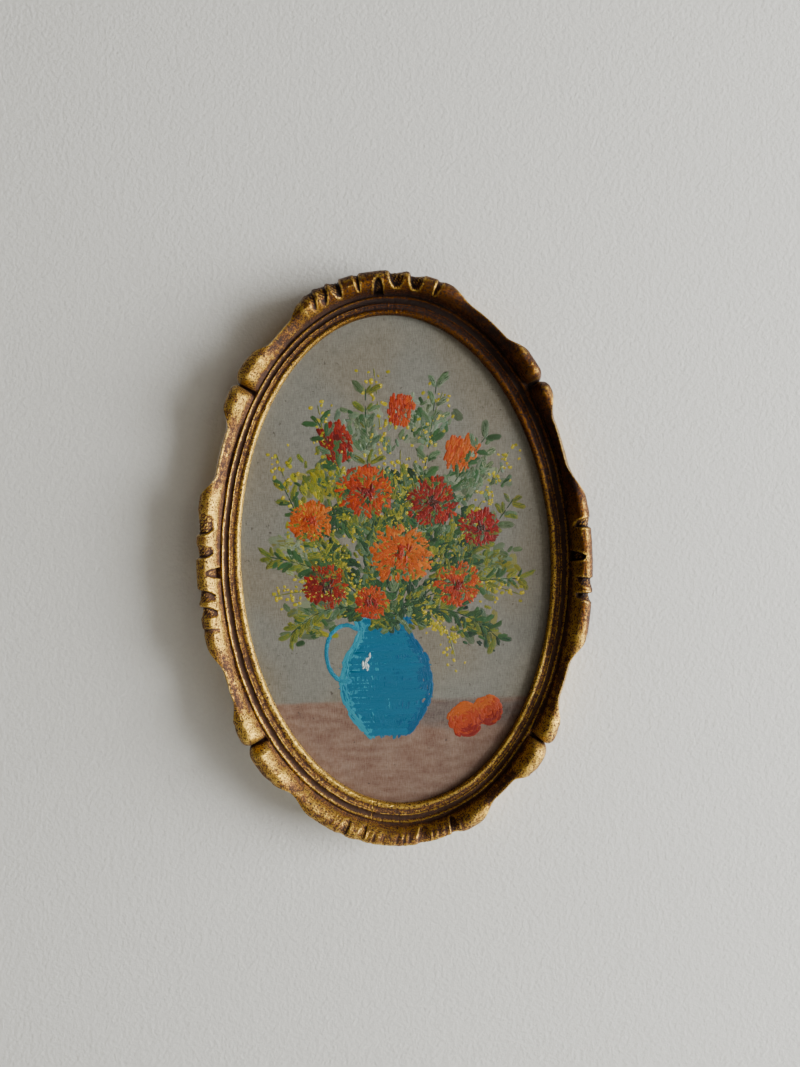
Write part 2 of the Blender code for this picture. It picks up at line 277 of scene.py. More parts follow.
def rising(value, start, end):
    """0 up to start, then a smooth rise to 1 at end."""
    return smooth((value - start) / (end - start))


def wander(x, y, z):
    """A smooth random value at this place, from about -1 to 1."""
    return noise.noise(Vector((x, y, z)))


def curve_weights(count, share):
    """Weight of each of count points at these shares of the way along a smooth curve."""
    span = np.clip(share, 0.0, 1.0) * (count - 1)
    first = np.minimum(span.astype(int), count - 2)
    t = (span - first)[..., None]
    points = np.eye(count)
    p0, p1, p2, p3 = (points[np.clip(first + k, 0, count - 1)] for k in (-1, 0, 1, 2))
    bend = 2 * p1 + (p2 - p0) * t + (2 * p0 - 5 * p1 + 4 * p2 - p3) * t**2
    return 0.5 * (bend + (3 * p1 - p0 - 3 * p2 + p3) * t**3)


def along_curve(points, share):
    return curve_weights(len(points), share) @ np.asarray(points)


def outline_point(angle):
    x, z = SIGHT_WIDTH / 2 * np.cos(angle), SIGHT_HEIGHT / 2 * np.sin(angle)
    normal = np.stack([x / SIGHT_WIDTH**2, z / SIGHT_HEIGHT**2], axis=-1)
    normal /= np.linalg.norm(normal, axis=-1, keepdims=True)
    return np.stack([x, z], axis=-1) + normal * RAIL_WIDTH


def sight_point(angle):
    x, z = SIGHT_WIDTH / 2 * np.cos(angle), SIGHT_HEIGHT / 2 * np.sin(angle)
    c, s = math.cos(-SIGHT_TURN), math.sin(-SIGHT_TURN)
    return np.stack([c * x - s * z + SIGHT_SHIFT, s * x + c * z], axis=-1)


def place(angle, out, height):
    """World places at these angles, distances out and heights. The arrays share one shape."""
    sight, outline = sight_point(angle), outline_point(angle)
    flat = sight + (outline - sight) * (out / RAIL_WIDTH)[..., None]
    return np.stack([flat[..., 0], -height, flat[..., 1] + MIDDLE], axis=-1)


def outline_speed(angle):
    width, height = SIGHT_WIDTH / 2 + RAIL_WIDTH, SIGHT_HEIGHT / 2 + RAIL_WIDTH
    return np.hypot(width * np.sin(angle), height * np.cos(angle))


def girth(angle):
    keys, values = np.array(GIRTHS).T
    here = np.degrees(angle) % 360
    last = np.clip(np.searchsorted(keys, here), 1, len(keys) - 1)
    share = (here - keys[last - 1]) / (keys[last] - keys[last - 1])
    return values[last - 1] + (values[last] - values[last - 1]) * smooth(share)


def past_notch(angle):
    """Signed distance along the outline from the nearest notch."""
    away = [(np.degrees(angle) - notch + 180) % 360 - 180 for notch in NOTCH_ANGLES]
    nearest = np.argmin(np.abs(away), axis=0)
    degrees = np.take_along_axis(np.array(away), nearest[None], axis=0)[0]
    return np.radians(degrees) * outline_speed(angle)


def along_crest(angle, crest):
    """Signed distance along the rail from the middle of a crest, and whether it is on that side."""
    x, z = np.moveaxis(outline_point(angle), -1, 0)
    ahead = x * math.cos(math.radians(crest)) + z * math.sin(math.radians(crest)) > 0
    return (x if crest in (90, 270) else z), ahead


# The carved frame


def step_at(angle):
    """Distance to the next station: short on the crests and knuckles, shortest at the crack."""
    here, ahead = along_crest(np.array(angle), 270)
    before, after = CRACK_MARGINS
    if ahead and -before < here - CRACK_START < CRACK_LEAN * CRACK_SPAN[1] + after:
        return CRACK_STEP
    carved = abs(math.sin(angle)) < SIDE_CREST or abs(math.cos(angle)) < END_CREST
    beside_notch = abs(past_notch(np.array(angle))) < KNUCKLE_ROUND
    return FINE_STEP if carved or beside_notch else COARSE_STEP


def station_angles():
    angles, angle = [], 0.0
    while angle < 2 * math.pi:
        angles.append(angle)
        angle += step_at(angle) / outline_speed(angle)
    return np.array(angles) * (2 * math.pi / angle)


def gouge_share(ahead, length):
    """How deep a gouge is here and how much dirt lies in it, each as a share of its most."""
    share = np.where((ahead > 0) & (ahead < length), ahead / np.maximum(length, 1e-6), 1.0)
    wall = np.interp(share / CUT_WALL, (0, 0.5, 1), (0, CUT_BEVEL, 1))
    floor = 1 - (np.maximum(0, share - CUT_WALL) / (1 - CUT_WALL)) ** CUT_BOWL
    return np.where(share < CUT_WALL, wall, floor), np.where(share > CUT_WALL * 0.7, floor**0.5, 0.0)


def cut_depth(angle, across):
    """How far the gouges and punches took the roll down, and the dirt that lies in them."""
    depth, darkening = np.zeros_like(across), np.zeros_like(across)
    opened = np.clip((across - CUT_START) / (CUT_FULL - CUT_START), 0, 1)
    opened = np.sqrt(1 - (1 - opened) ** 2)
    reach = smooth((across - CUT_START) / CUT_DISH)
    for crest, cuts in CREST_CUTS.items():
        here, ahead = along_crest(angle, crest)
        for rim, length, most, inner_end in cuts:
            past_rim = here * math.copysign(1, rim) - abs(rim) - inner_end * length * (1 - opened)
            deep, lying = gouge_share(past_rim, length * opened)
            depth = np.maximum(depth, np.where(ahead, most * reach * deep, 0.0))
            lying = lying * min(1.0, most / CUT_GRIMY_DEPTH)
            darkening = np.maximum(darkening, np.where(ahead, reach * lying, 0.0))
        if crest in PUNCHES:
            start_punch, end_punch = PUNCH_SPAN
            share = np.clip((across - start_punch) / (end_punch - start_punch), 0, 1)
            half = PUNCH_WIDTH / 2 * (1 - share**PUNCH_POINT) ** 0.5 + 1e-9
            inside = smooth((1 - np.abs(here - PUNCHES[crest]) / half) / PUNCH_WALL)
            inside = np.where(ahead & (share < 1), inside, 0.0)
            depth = np.maximum(depth, PUNCH_DEPTH * inside)
            darkening = np.maximum(darkening, smooth((inside - 0.5) / 0.4))
    return depth, darkening


def moulding_spread(angle):
    """How far out the mouldings lie here, as a share of their drawn places."""
    return (1 + MOULDING_DRIFT * np.sin(2 * angle))[:, None]


def roll_width(angle):
    return (NECK_WIDTH + (RAIL_WIDTH - NECK_WIDTH) * girth(angle))[:, None]


def crown_section(angle):
    """(out, height) of the roll's columns at each station, before the tools cut into it."""
    here = girth(angle)[:, None]
    hollow = HOLLOW * moulding_spread(angle)
    width = roll_width(angle)
    depth = NECK_DEPTH + (FRAME_DEPTH - NECK_DEPTH) * np.clip(here, 0, 1)
    reach = np.maximum(width, RAIL_WIDTH) - hollow
    foot_share = (LIP_HEIGHT + HOLLOW_RISE) / depth
    ridge = width - NECK_BEVEL * np.maximum(0.0, 1 - here)
    outs, heights = (np.array((0.0,) + values) for values in zip(*CROWN))

    fine = np.linspace(0, 1, CROWN_SAMPLES)
    fine_out = hollow + (curve_weights(len(outs), fine) @ outs) * reach
    end = np.array([np.interp(r, row, fine) for r, row in zip(ridge[:, 0], fine_out)])[:, None]
    share = end * np.linspace(0, 1, CROWN_COLUMNS) ** CROWN_CROWDING
    weights = curve_weights(len(outs), share)
    out = hollow + (weights @ outs) * reach
    high = (weights @ heights + weights[..., 0] * foot_share) * depth

    side = np.linspace(0, 1, SIDE_COLUMNS + 1)[1:]
    side_out = ridge + (width - ridge) * np.minimum(1.0, side / SIDE_BEVEL) ** 0.8
    side_out = side_out - BACK_TUCK * rising(side, SIDE_BEVEL, 1)
    side_high = high[:, -1:] * (1 - side)
    return np.concatenate([out, side_out], axis=1), np.concatenate([high, side_high], axis=1)


def tool_marks(angle, across):
    """Shallow unevenness left by the carver's tools and by wear, in metres."""
    marks = np.zeros_like(across)
    ring = np.stack([np.cos(angle), np.sin(angle)], axis=-1) * 0.1
    for (i, j), share in np.ndenumerate(across):
        x, z = ring[i]
        broad = wander(x * 190, z * 190, share * 2.0)
        marks[i, j] = BROAD_MARKS * broad + FINE_MARKS * wander(x * 750, z * 750, share * 6.0)
    return marks


def roughness(angle, across):
    """The torn grain at the bottom of the gouges, from -1 to 1."""
    return np.sin(angle * 1900 + across * 40 + 3 * np.sin(angle * 730 - across * 55))


def foot_ripples(angle, across):
    """The row of shallow irregular cuts along the bottom crest."""
    here, ahead = along_crest(angle, 270)
    wave = np.clip(np.sin(here * 1500 + 2.2 * np.sin(here * 410) + across * 3.0), -0.2, 1.0)
    fade = smooth((RIPPLE_HALF_ROW - np.abs(here - RIPPLE_ROW_AT)) / RIPPLE_FADE)
    fade = fade * smooth((across - RIPPLE_START) / RIPPLE_RISE)
    return np.where(ahead, RIPPLE_DEPTH * wave * fade, 0.0)


def roll_section(angle):
    """(out, height, darkening) of the finished roll at each station and column: dirt in its hollows, and
    dirt with painted shade on its outer half.
    """
    out, high = crown_section(angle)
    crown_end = np.linspace(0, CROWN_SHARE, CROWN_COLUMNS)
    side_end = np.linspace(CROWN_SHARE, 1, SIDE_COLUMNS + 1)[1:]
    across = np.broadcast_to(np.concatenate([crown_end, side_end]), out.shape)
    angles = np.broadcast_to(angle[:, None], out.shape)

    hollow = HOLLOW * moulding_spread(angle)
    foot = (0.0, (LIP_HEIGHT + HOLLOW_RISE) / FRAME_DEPTH)
    floor = along_curve((foot,) + FLOOR, across)
    floor_out = hollow + floor[..., 0] * (roll_width(angle) - hollow)
    floor_high = floor[..., 1] * FRAME_DEPTH
    narrow = WEDGE_HALF[0] + (WEDGE_HALF[1] - WEDGE_HALF[0]) * np.minimum(1, across / 0.6)
    away = np.maximum(0.0, np.abs(past_notch(angles)) - narrow)
    openness = np.sqrt(1 - (1 - np.clip(away / KNUCKLE_ROUND, 0, 1)) ** 2)
    out = floor_out + (out - floor_out) * openness
    high = floor_high + (high - floor_high) * openness

    heart_out = HOLLOW + ROLL_HEART[0] * (RAIL_WIDTH - HOLLOW)
    heart_high = ROLL_HEART[1] * FRAME_DEPTH
    towards = np.stack([heart_out - out, heart_high - high], axis=-1)
    towards /= np.linalg.norm(towards, axis=-1, keepdims=True)
    depth, lying = cut_depth(angles, across)
    depth = depth * smooth(high / (CUT_FADE * FRAME_DEPTH))
    darkening = np.maximum(1 - openness, lying)
    darkening = np.maximum(darkening, CHANNEL_DIRT * smooth((CHANNEL_END - out) / CHANNEL_FADE))
    # The outer half darker: bole and dirt, and painted shade
    darkening = np.maximum(darkening, OUTER_DIRT_AND_SHADE * rising(across, *OUTER_DIRT_AND_SHADE_SPAN))
    shown = smooth(across / 0.1) * smooth(high / 0.003)
    depth = depth + CUT_ROUGH * lying * roughness(angles, across)
    depth = depth + foot_ripples(angles, across) * shown
    depth = depth + np.maximum(-PROUD_MARKS, tool_marks(angle, across)) * shown
    return out + towards[..., 0] * depth, high + towards[..., 1] * depth, darkening


def moulding_section(angle):
    """(out, height, dirt) of the run mouldings, a little unsteady along their length."""
    share = np.linspace(0, 1, MOULDING_COLUMNS)[:-1]
    shape = along_curve(MOULDINGS, share)
    steady = smooth(share / STEADY_SHARE)
    waver = np.array([wander(math.cos(a) * 9, math.sin(a) * 9, 0.5) for a in angle])[:, None]
    out = shape[:, 0] * moulding_spread(angle) + MOULDING_WAVER * waver * steady
    high = LIP_HEIGHT + shape[:, 1] + np.zeros_like(out)
    for (i, j), value in np.ndenumerate(out):
        dent = wander(math.cos(angle[i]) * 60, math.sin(angle[i]) * 60, value * 500)
        high[i, j] += MOULDING_DENTS * dent * steady[j]
    darkening = sum(most * smooth(1 - np.abs(shape[:, 0] - at) / half) for at, half, most in MOULDING_DIRT)
    return out, high, np.clip(darkening, 0, 1) + np.zeros_like(out)


def crack_depth(angle, out):
    """The hairline crack: a narrow groove that leans across the mouldings."""
    here, ahead = along_crest(angle, 270)
    line = CRACK_START + CRACK_LEAN * out - CRACK_BOW * out**2
    line = line + CRACK_WAVER * np.sin(out * 4200)
    inside = np.maximum(0.0, 1 - np.abs(here - line) / CRACK_HALF)
    (start, end), (opening, closing) = CRACK_SPAN, CRACK_FADES
    reach = smooth((out - start) / opening) * smooth((end - out) / closing)
    return np.where(ahead, CRACK_DEPTH * inside * reach, 0.0)


def frame_section(angle):
    """(out, height, darkening) of the columns right round the rail's section: dirt, with painted shade on
    the roll's outer half.
    """
    out, high, darkening = (
        np.concatenate(pair, axis=1) for pair in zip(moulding_section(angle), roll_section(angle))
    )
    crack = crack_depth(np.broadcast_to(angle[:, None], out.shape), out)
    high = high - crack
    darkening = np.maximum(np.clip(darkening, 0, 1), CRACK_DIRT * crack / CRACK_DEPTH)
    rebate_wall = [(REBATE_LAP, REBATE_DEPTH * share) for share in (0, 0.5, 1)]
    back = np.array(rebate_wall + [(0.0, REBATE_DEPTH)])
    back = np.broadcast_to(back, (len(angle),) + back.shape)
    sections = ((out, back[..., 0]), (high, back[..., 1]), (darkening, np.zeros(back.shape[:2])))
    return tuple(np.concatenate(pair, axis=1) for pair in sections)


def softened(values, times):
    """Each grid value averaged with its neighbours, round the frame and across the section."""
    for _ in range(times):
        values = (np.roll(values, 1, 0) + 2 * values + np.roll(values, -1, 0)) / 4
        values = (np.roll(values, 1, 1) + 2 * values + np.roll(values, -1, 1)) / 4
    return values


def varnish_and_shade_share(angle, out):
    """How thick the brown glaze lies, from 0 to 1: a little old varnish over the roll, and painted shade on
    the top and on the outer half of the right crest.
    """
    top = TOP_SHADE * np.maximum(0.0, np.cos(angle - TOP_SHADE_ANGLE)) ** TOP_SHADE_FALL
    roll = smooth((out - HOLLOW) / ROLL_FADE)
    crest = rising(np.cos(angle), *SHADED_CREST)
    outer = rising(out / RAIL_WIDTH, *SHADED_OUTER)
    return np.clip(top[:, None] + ROLL_GRIME * roll + CREST_SHADE * crest[:, None] * outer, 0, 1)


def relief(points):
    """How proud each point stands, 0 in a hollow to 1 on a high edge, and how crisp an edge it is; the
    gilding lights these edges with rubbed wear and a painted highlight.
    """
    round_way = np.roll(points, -1, 0) - np.roll(points, 1, 0)
    out_way = np.roll(points, -1, 1) - np.roll(points, 1, 1)
    normal = np.cross(out_way, round_way)
    normal /= np.linalg.norm(normal, axis=-1, keepdims=True) + 1e-12
    near = ((points - softened(points, NEAR_ROUNDS)) * normal).sum(-1)
    far = ((points - softened(points, FAR_ROUNDS)) * normal).sum(-1)
    proud = 0.5 + near / NEAR_RELIEF + far / FAR_RELIEF
    rubbed_and_lit_edge = (near - EDGE_START) / EDGE_RISE
    return np.clip(proud, 0, 1), np.clip(rubbed_and_lit_edge, 0, 1)


# Meshes and pieces


def in_scene(name, data):
    """Puts a mesh, a lamp or a camera in the scene as an object."""
    made = bpy.data.objects.new(name, data)
    bpy.context.scene.collection.objects.link(made)
    return made


def mesh_of(name, bm, *finishes):
    mesh = bpy.data.meshes.new(name)
    bm.to_mesh(mesh)
    bm.free()
    for finish in finishes:
        mesh.materials.append(finish)
    return mesh


def finished_piece(name, bm, *finishes, crease):
    """Writes the mesh out as a smooth piece that rides on the one body."""
    mesh = mesh_of(name, bm, *finishes)
    mesh.shade_smooth()
    mesh.set_sharp_from_angle(angle=math.radians(crease))
    piece = in_scene(name, mesh)
    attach(piece, "root")
    return piece


def of_kind(geom, kind):
    return [g for g in geom if isinstance(g, kind)]


def close_behind(bm, rim, depth, slot):
    """Draws a closed rim out to this depth and shuts its far end, all in one finish."""
    walls = bmesh.ops.extrude_edge_only(bm, edges=rim)["geom"]
    for vert in of_kind(walls, bmesh.types.BMVert):
        vert.co.y = -depth
    end = bmesh.ops.contextual_create(bm, geom=of_kind(walls, bmesh.types.BMEdge))["faces"]
    for face in of_kind(walls, bmesh.types.BMFace) + end:
        face.material_index = slot


def cut_nail_hole(bm, wood):
    """Opens a blind round hole for the nail in the flat back of the top rail."""
    reach = NAIL_HOLE_RADIUS + NAIL_HOLE_MARGIN
    near = [
        f for f in bm.faces
        if f.material_index == wood
        and all(abs(v.co.y) < 1e-5 and abs(v.co.x) < reach and v.co.z > MIDDLE for v in f.verts)
    ]
    edges = {e for f in near for e in f.edges}
    rim = [e for e in edges if sum(f in near for f in e.link_faces) == 1]
    bmesh.ops.delete(bm, geom=near, context="FACES_ONLY")
    loose = [e for e in edges if e.is_valid and not e.link_faces]
    bmesh.ops.delete(bm, geom=loose, context="EDGES")
    turn = Matrix.Rotation(math.radians(90), 4, "X")
    circle = bmesh.ops.create_circle(bm, segments=32, radius=NAIL_HOLE_RADIUS, matrix=turn)
    ring = list({e for v in circle["verts"] for e in v.link_edges})
    filled = bmesh.ops.triangle_fill(bm, edges=rim + ring, use_beauty=True, use_dissolve=False)
    for face in of_kind(filled["geom"], bmesh.types.BMFace):
        face.material_index = wood
    close_behind(bm, ring, NAIL_HOLE_DEPTH, wood)


def make_frame(gilding, old_wood):
    """One grid, closed round the oval and round the rail, with each point on the carved section."""
    angles = station_angles()
    out, high, darkening = frame_section(angles)
    stations, columns = out.shape
    points = place(np.broadcast_to(angles[:, None], out.shape), out, high)
    points = np.clip(points, np.array(solid_box[0]), np.array(solid_box[1]))
    proud, rubbed_and_lit_edge = relief(points)
    # Crisp edges on the roll: rubbed bright, with a painted highlight on the rims
    rubbed_and_lit_edge = rubbed_and_lit_edge * smooth((out - HOLLOW) / ROLL_FADE)
    rubbed_and_lit_edge = rubbed_and_lit_edge * smooth((RUBBED_AND_LIT_REACH - out / RAIL_WIDTH) / RUBBED_AND_LIT_FADE)
    outer_side = np.arange(columns) >= columns - BACK_COLUMNS - SIDE_COLUMNS
    # Painted shade on the outer side, darker towards the wall, added to the dirt
    shade = np.where(outer_side, 1 - high / SIDE_SHADE, 0.0)
    shares = {
        "proud": proud,
        "darkening": np.maximum(darkening, np.minimum(1.0, shade)),
        "rubbed_and_lit_edge": rubbed_and_lit_edge,
        # Brown glaze of old varnish and painted shade, kept mostly off the crisp edges
        "varnish_and_shade": varnish_and_shade_share(angles, out) * (1 - RUBBED_AND_LIT * rubbed_and_lit_edge),
    }
    run_across = np.cumsum(np.linalg.norm(points - np.roll(points, 1, 1), axis=-1), axis=1)
    run_along = np.concatenate([[0.0], np.cumsum(np.diff(angles) * outline_speed(angles[:-1]))])

    bm = bmesh.new()
    for name in shares:
        bm.verts.layers.float.new(name)
    rail_layer = bm.verts.layers.float_vector.new("rail")
    layers = [(bm.verts.layers.float[name], share) for name, share in shares.items()]
    bmesh.ops.create_grid(bm, x_segments=stations, y_segments=columns, size=1.0)
    seam, back = [], set()
    for vert in bm.verts:
        along = round((vert.co.x + 1) / 2 * stations)
        across = round((vert.co.y + 1) / 2 * columns)
        i, j = along % stations, across % columns
        if along in (0, stations) or across in (0, columns):
            seam.append(vert)
        if columns - BACK_COLUMNS - 1 <= across < columns:
            back.add(vert)
        vert.co = points[i, j]
        for layer, share in layers:
            vert[layer] = share[i, j]
        vert[rail_layer] = (run_along[i], run_across[i, j], 0.0)
    wood = 1
    for face in bm.faces:
        if all(v in back for v in face.verts):
            face.material_index = wood
    bmesh.ops.remove_doubles(bm, verts=seam, dist=1e-6)
    bmesh.ops.recalc_face_normals(bm, faces=bm.faces)
    cut_nail_hole(bm, wood)
    bmesh.ops.recalc_face_normals(bm, faces=bm.faces)
    piece = finished_piece("gilded_frame", bm, gilding, old_wood, crease=38)
    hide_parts("carved_frame")
    return piece


def picture_edge(angle, share):
    """A place on the panel at this angle and share of the way from its middle to its edge."""
    lap = REBATE_LAP - PANEL_CLEARANCE
    sight, outline = sight_point(angle), outline_point(angle)
    edge = sight + (outline - sight) * (lap / RAIL_WIDTH)
    middle = np.array([SIGHT_SHIFT, 0.0])
    return middle + (edge - middle) * np.asarray(share)[..., None]


def make_panel(ground, board):
    """The painted board. Its front is a fine grid with the low relief and the broad paint."""
    bm = bmesh.new()
    paint_layer = bm.verts.layers.float_color.new("paint")
    bmesh.ops.create_grid(bm, x_segments=150, y_segments=230, size=1.0)
    for vert in bm.verts:
        u, v = vert.co.x, vert.co.y
        x, z = u * math.sqrt(1 - v * v / 2), v * math.sqrt(1 - u * u / 2)
        spot = picture_edge(np.array(math.atan2(z, x)), min(1.0, math.hypot(x, z)))
        brushed = wander(spot[0] * 900, spot[1] * 220, 3.0)
        rise = BRUSH_RELIEF * (brushed + wander(spot[0] * 240, spot[1] * 800, 7.0))
        vert.co = (spot[0], -(PICTURE_FRONT + min(rise, 0.0)), spot[1] + MIDDLE)
        vert[paint_layer] = ground_colour(*spot)
    close_behind(bm, [e for e in bm.edges if e.is_boundary], PICTURE_BACK, 1)
    bmesh.ops.recalc_face_normals(bm, faces=bm.faces)
    piece = finished_piece("painted_board", bm, ground, board, crease=40)
    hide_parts("painted_panel")
    return piece


# The painting


def border_loop(verts):
    """The border of a fresh dab as a loop, in the order that closes it underneath."""
    edge = next(e for v in verts for e in v.link_edges if e.is_boundary)
    corner = edge.link_loops[0]
    loop, vert = [corner.vert], corner.link_loop_next.vert
    while vert != loop[0]:
        loop.append(vert)
        edge = next(e for e in vert.link_edges if e.is_boundary and e != edge)
        vert = edge.other_vert(vert)
    return loop[::-1]


class Strokes:
    """A layer of the painting: closed dabs of paint that lie on the board."""

    ACROSS, ALONG = 4, 6
    BATCH = 40
    SOFT_EDGE = 0.55
    SUNK = 0.00003

    def __init__(self, seed):
        self.dry = bmesh.new()
        self.random = random.Random(seed)
        self.load_brush()

    def load_brush(self):
        """A small mesh to lay the next few dabs in, as Blender's operators slow down on a big one."""
        self.wet = bmesh.new()
        self.paint = self.wet.verts.layers.float_color.new("paint")
        self.load = self.wet.verts.layers.float_color.new("load")
        self.brush = self.wet.verts.layers.float_vector.new("brush")
        self.laid = 0

    def let_dry(self):
        """Adds the dabs just laid to the layer."""
        mesh = mesh_of("wet_paint", self.wet)
        self.dry.from_mesh(mesh)
        bpy.data.meshes.remove(mesh)

    def dab(
        self, x, z, turn, length, width, thick, colour,
        amount=0.14, load=None, under=None, bend=0.0, point=2.5,
    ):
        """One stroke centred on x, z: turn is its direction and bend its sideways bow at the ends.

        The colour varies by amount, load is what else the brush carries, and the stroke's edge
        is worked into the colour under it.
        """
        if self.laid == self.BATCH:
            self.let_dry()
            self.load_brush()
        self.laid += 1
        paint = varied(self.random, colour, amount)
        load = varied(self.random, load or colour, 2 * amount)
        worked = blended(paint, under or colour, self.SOFT_EDGE)
        grain = self.random.uniform(0, 40)
        grid = {"x_segments": self.ACROSS, "y_segments": self.ALONG, "size": 1.0}
        verts = bmesh.ops.create_grid(self.wet, **grid)["verts"]
        along_way = Vector((math.cos(turn), math.sin(turn)))
        aside_way = Vector((-along_way.y, along_way.x))
        for vert in verts:
            u, v = vert.co.x, vert.co.y
            full = (1 - abs(v) ** point) ** 0.5 if abs(v) < 1 else 0.0
            ragged = 1 + 0.45 * wander(u * 2.0, v * 3.0, grain)
            aside = u * (0.12 + 0.88 * full) * width / 2 * ragged + bend * (v * v - 0.4)
            along = v * length / 2 * (1 + 0.30 * wander(u * 3.0, v, grain + 20))
            flat = Vector((x, z)) + along_way * along + aside_way * aside
            edge = abs(u) > 0.99 or abs(v) > 0.99
            crest = 0.75 + 0.5 * wander(u * 4.0, v * 1.5, grain + 40)
            rise = -min(self.SUNK, thick) if edge else thick * crest
            vert.co = (flat.x, -(PICTURE_FRONT + rise), flat.y + MIDDLE)
            vert[self.paint] = worked if edge else paint
            vert[self.load] = worked if edge else load
            vert[self.brush] = (u * width / 2 + grain, v * length / 2, grain)
        self.wet.faces.new(border_loop(verts))

    def finished(self, name, finish):
        self.let_dry()
        piece = finished_piece(name, self.dry, finish, crease=60)
        return piece


def varied(pick, colour, amount):
    """The colour a little lighter or darker and warmer or cooler, as paint comes off a palette."""
    light = 1 + pick.uniform(-amount, amount)
    warm = pick.uniform(-amount, amount) / 3
    red, green, blue, alpha = colour
    return (red * light * (1 + warm), green * light, blue * light * (1 - warm), alpha)


def blended(first, second, share):
    return tuple(a + (b - a) * share for a, b in zip(first, second))


def about(pick, x, z, aside, up):
    """A place near x, z, as a brush lands."""
    return x + pick.gauss(0, aside), z + pick.gauss(0, up)


def in_light(light, bright, dim, colours):
    """The paint for this much light: the first in bright light, the last in dim."""
    lit, middle, shade = colours
    return lit if light > bright else middle if light > dim else shade


WARM_GREY = tone(107, 103, 90)
COOL_GREY = tone(103, 104, 97)
TABLE = tone(106, 76, 61)
TABLE_LIGHT = tone(119, 95, 81)
TABLE_SHADE = tone(74, 68, 66)
TURQUOISE = tone(8, 90, 120)
DEEP_TURQUOISE = tone(6, 76, 112)
LIGHT_TURQUOISE = tone(38, 126, 148)
ORANGE = tone(150, 52, 12)
LIGHT_ORANGE = tone(162, 76, 18)
PALE_ORANGE = tone(178, 104, 40)
RED = tone(120, 26, 16)
DEEP_RED = tone(88, 12, 12)
YELLOW = tone(156, 142, 30)
PALE_YELLOW = tone(204, 192, 94)
OLIVE = tone(112, 112, 30)
YELLOW_GREEN = tone(134, 130, 34)
LEAF = tone(46, 76, 44)
GREY_LEAF = tone(92, 108, 84)
PALE_LEAF = tone(112, 124, 104)
DARK_LEAF = tone(20, 44, 34)
WHITE = tone(226, 226, 216)

TABLE_EDGE = -0.0600
TABLE_BLUR = 0.0014
SHADE_AT = (0.027, -0.0655)
SHADE_REACH = (0.030, 0.0075)


def ground_colour(x, z):
    """The paint of the picture's wall or table at this place, uneven as it was brushed on."""
    upright = wander(x * 420, z * 130, 1.0)
    level = wander(x * 110, z * 480, 5.0)
    cloud = wander(x * 40, z * 40, 9.0)
    edge = TABLE_EDGE + 0.0006 * wander(x * 120, 2.0, 0.0)
    on_table = float(smooth((edge - z) / TABLE_BLUR + 0.5))
    away = math.hypot((x - SHADE_AT[0]) / SHADE_REACH[0], (z - SHADE_AT[1]) / SHADE_REACH[1])
    shaded = 0.8 * float(smooth((1.15 - away + 0.3 * level) / 0.6))
    table = blended(TABLE, TABLE_LIGHT, float(smooth(0.5 + 1.1 * level)))
    wall = blended(WARM_GREY, COOL_GREY, float(smooth(0.5 + cloud)))
    paint = blended(wall, blended(table, TABLE_SHADE, shaded), on_table)
    light = 1 + 0.09 * cloud + 0.08 * (upright + level)
    return tuple(c * light for c in paint[:3]) + (1.0,)


JUG_X = -0.0050
JUG_PROFILE = (
    (-0.0745, 0.0095), (-0.0720, 0.0118), (-0.0660, 0.0168), (-0.0580, 0.0205), (-0.0500, 0.0212),
    (-0.0420, 0.0190), (-0.0350, 0.0142), (-0.0300, 0.0118), (-0.0250, 0.0136),
)
JUG_BANDS = 18
HANDLE_AT = (JUG_X - 0.0165, -0.0395)
HANDLE_REACH = (0.0085, 0.0120)
HIGHLIGHT_AT = (JUG_X - 0.0085, -0.0440)


def jug_half(z):
    heights, halves = zip(*JUG_PROFILE)
    return float(np.interp(z, heights, halves))


def paint_jug(finish):
    """The round turquoise jug: strokes that follow its belly, its handle and its light."""
    layer = Strokes(23)
    pick = layer.random
    low, high = JUG_PROFILE[0][0], JUG_PROFILE[-1][0]
    for i in range(JUG_BANDS):
        z = low + (high - low) * (i + 0.5) / JUG_BANDS
        layer.dab(JUG_X, z, 0.0, 2.05 * jug_half(z), 0.0046, 0.00004, TURQUOISE, 0.05, point=9.0)
    for _ in range(900):
        z = pick.uniform(low + 0.001, high - 0.001)
        u = pick.uniform(-0.93, 0.93)
        x = JUG_X + u * jug_half(z)
        slope = (jug_half(z + 0.002) - jug_half(z - 0.002)) / 0.004
        turn = math.pi / 2 - math.atan(u * slope)
        light = -(u + pick.gauss(0, 0.25))
        colour = in_light(light, 0.55, -0.35, (LIGHT_TURQUOISE, TURQUOISE, DEEP_TURQUOISE))
        length, width = pick.uniform(0.004, 0.009), pick.uniform(0.0012, 0.0026)
        layer.dab(x, z, turn, length, width, 0.00003, colour, 0.06, under=TURQUOISE)
    for i in range(30):
        angle = math.radians(62 + 210 * i / 29)
        x = HANDLE_AT[0] + HANDLE_REACH[0] * math.cos(angle)
        z = HANDLE_AT[1] + HANDLE_REACH[1] * math.sin(angle)
        layer.dab(x, z, angle + math.pi / 2, 0.0042, 0.0020, 0.00010, TURQUOISE, load=LIGHT_TURQUOISE)
    for _ in range(9):
        x, z = about(pick, *HIGHLIGHT_AT, 0.0008, 0.0016)
        layer.dab(x, z, 1.4 + pick.gauss(0, 0.4), 0.0026, 0.0010, 0.00018, WHITE, load=LIGHT_TURQUOISE)
    return layer.finished("painted_jug", finish)


JUG_MOUTH = (-0.0045, -0.0260)


def stem_points(end, bow, count):
    """Places and directions along a bowed stem from the jug's mouth."""
    start = Vector(JUG_MOUTH)
    run = Vector(end) - start
    aside = Vector((-run.y, run.x)).normalized() * bow
    places = []
    for i in range(count):
        t = i / (count - 1)
        here = start + run * t + aside * (4 * t * (1 - t))
        places.append((here, math.atan2(run.y, run.x) + math.atan2(4 * bow * (1 - 2 * t), run.length)))
    return places


